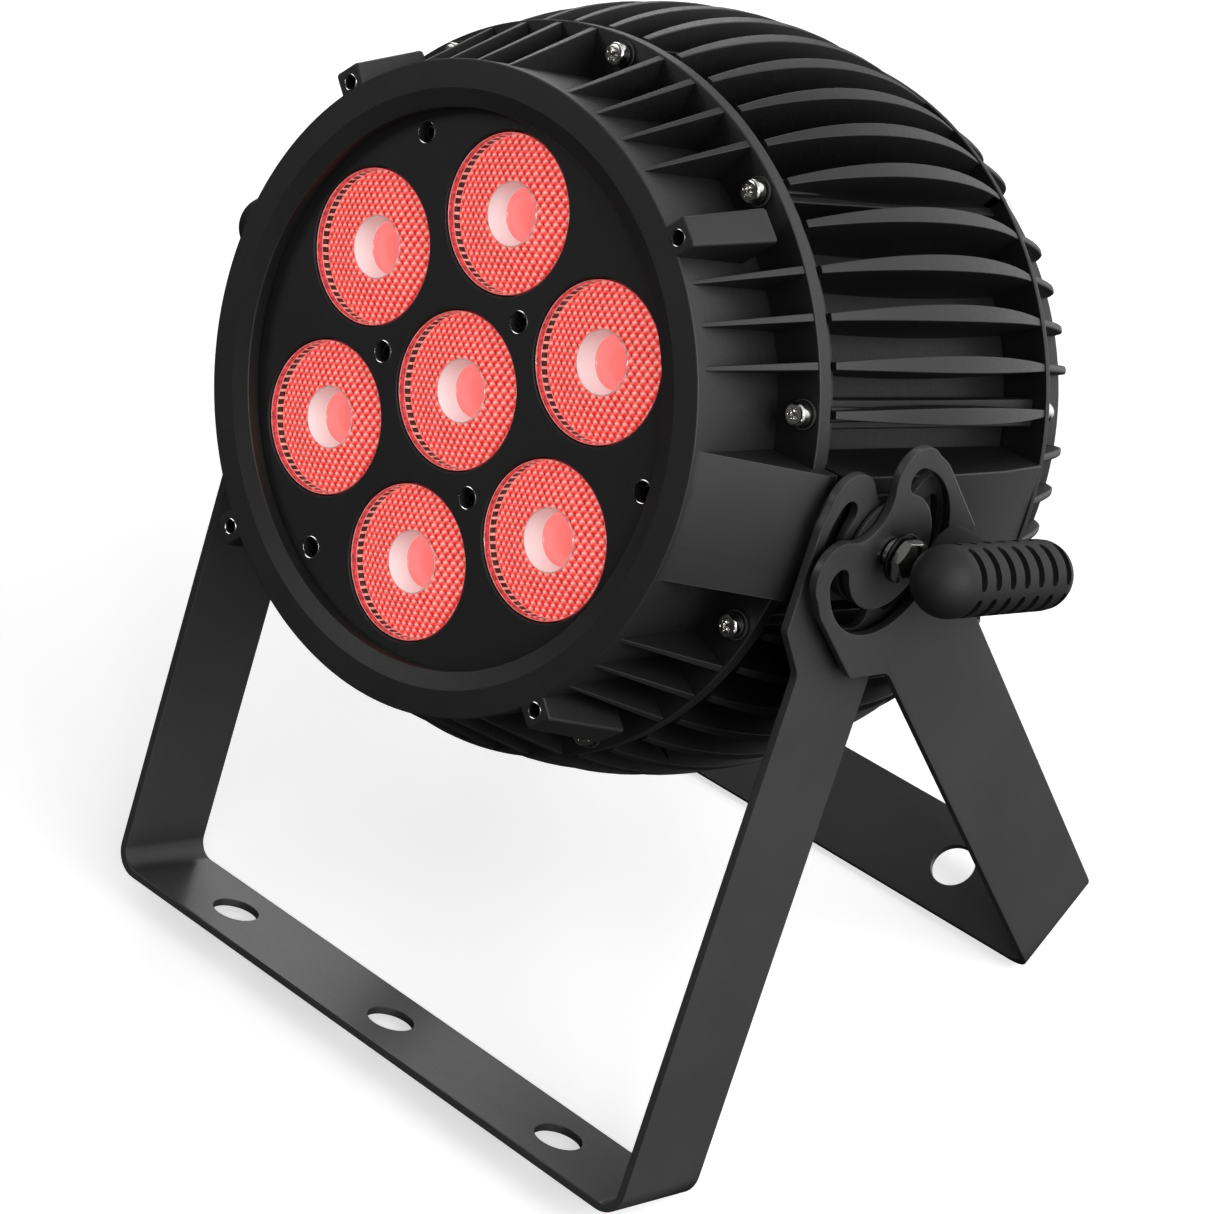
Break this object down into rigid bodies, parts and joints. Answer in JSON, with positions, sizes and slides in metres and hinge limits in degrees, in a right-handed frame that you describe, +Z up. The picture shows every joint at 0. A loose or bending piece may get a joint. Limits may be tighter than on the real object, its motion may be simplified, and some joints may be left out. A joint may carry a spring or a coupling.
{
  "type": "par can light",
  "caption": "LED par can stage light: a round finned head with collimator lenses, tilting on a double yoke that doubles as a floor stand, locked by side clamp levers.",
  "frame": {"origin": "under the middle of the object, on the floor that both yoke bars stand on", "axes": "+Z up; the light looks towards -Y, tipped up 22.6 degrees; +X along the pivot axis, to the right seen from the front of the lens"},
  "size_m": [0.2592, 0.2062, 0.2687],
  "materials": {
    "black_powder_coat": "satin",
    "black_cast_aluminium": "satin black coating on cast aluminium",
    "plain_aluminium": "mill finish",
    "bright_steel": "polished",
    "red_lens": "patterned clear plastic, lit red",
    "black_plastic": "matte",
    "black_rubber": "matte",
    "circuit_board": "solder mask",
    "sheet_steel": "brushed",
    "display_glass": "gloss"
  },
  "bodies": {
    "front_yoke": {"front_yoke": "black_powder_coat", "yoke_washer_right": "black_rubber", "yoke_washer_left": "black_rubber"},
    "head": {"front_housing": "black_cast_aluminium", "front_gasket": "black_rubber", "housing_screw_1": "bright_steel", "housing_screw_2": "bright_steel", "housing_screw_3": "bright_steel", "housing_screw_4": "bright_steel", "housing_screw_5": "bright_steel", "housing_screw_6": "bright_steel", "housing_screw_7": "bright_steel", "housing_screw_8": "bright_steel", "housing_screw_9": "bright_steel", "housing_screw_10": "bright_steel", "lens_panel": "black_cast_aluminium", "panel_screw_1": "bright_steel", "panel_screw_2": "bright_steel", "panel_screw_3": "bright_steel", "panel_screw_4": "bright_steel", "panel_screw_5": "bright_steel", "panel_screw_6": "bright_steel", "collimator_lens_1": "red_lens", "collimator_lens_2": "red_lens", "collimator_lens_3": "red_lens", "collimator_lens_4": "red_lens", "collimator_lens_5": "red_lens", "collimator_lens_6": "red_lens", "collimator_lens_7": "red_lens", "lens_holder": "black_plastic", "led_board": "circuit_board", "heatsink_housing": "black_cast_aluminium", "power_supply": "plain_aluminium", "driver_board": "circuit_board", "rear_gasket": "black_rubber", "rear_cover": "black_cast_aluminium", "display_window": "display_glass", "power_inlet": "black_plastic", "power_outlet": "black_plastic", "data_input": "black_plastic", "data_output": "black_plastic", "vent_valve": "black_plastic", "safety_eye": "sheet_steel", "pad_washer_right": "black_rubber", "pad_washer_left": "black_rubber"},
    "rear_yoke": {"rear_yoke": "black_powder_coat"},
    "clamp_lever_right": {"pivot_stud_right": "bright_steel", "lever_nut_right": "bright_steel", "clamp_lever_right": "black_plastic"},
    "clamp_lever_left": {"pivot_stud_left": "bright_steel", "lever_nut_left": "bright_steel", "clamp_lever_left": "black_plastic"},
    "button_menu": {"button_menu": "black_rubber"},
    "button_down": {"button_down": "black_rubber"},
    "button_up": {"button_up": "black_rubber"},
    "button_enter": {"button_enter": "black_rubber"}
  },
  "joints": [
    {"name": "head_tilt", "type": "hinge", "parent": "front_yoke", "child": "head", "pos_m": [0, -0.01748, 0.17496], "axis": [1, 0, 0], "range_deg": [-67.4, 112.6]},
    {"name": "rear_yoke_fold", "type": "hinge", "parent": "front_yoke", "child": "rear_yoke", "pos_m": [0, -0.01748, 0.17496], "axis": [1, 0, 0], "range_deg": [-50.6, 100]},
    {"name": "clamp_lever_right_turn", "type": "hinge", "parent": "head", "child": "clamp_lever_right", "pos_m": [0, -0.01748, 0.17496], "axis": [1, 0, 0], "range_deg": [-150, 0]},
    {"name": "clamp_lever_left_turn", "type": "hinge", "parent": "head", "child": "clamp_lever_left", "pos_m": [0, -0.01748, 0.17496], "axis": [1, 0, 0], "range_deg": [0, 150]},
    {"name": "button_menu_press", "type": "slide", "parent": "head", "child": "button_menu", "axis": [0, -0.9232, 0.3843], "range_m": [0, 0.001], "stiffness_N_per_m": 400, "springref_m": -0.0005},
    {"name": "button_down_press", "type": "slide", "parent": "head", "child": "button_down", "axis": [0, -0.9232, 0.3843], "range_m": [0, 0.001], "stiffness_N_per_m": 400, "springref_m": -0.0005},
    {"name": "button_up_press", "type": "slide", "parent": "head", "child": "button_up", "axis": [0, -0.9232, 0.3843], "range_m": [0, 0.001], "stiffness_N_per_m": 400, "springref_m": -0.0005},
    {"name": "button_enter_press", "type": "slide", "parent": "head", "child": "button_enter", "axis": [0, -0.9232, 0.3843], "range_m": [0, 0.001], "stiffness_N_per_m": 400, "springref_m": -0.0005}
  ]
}
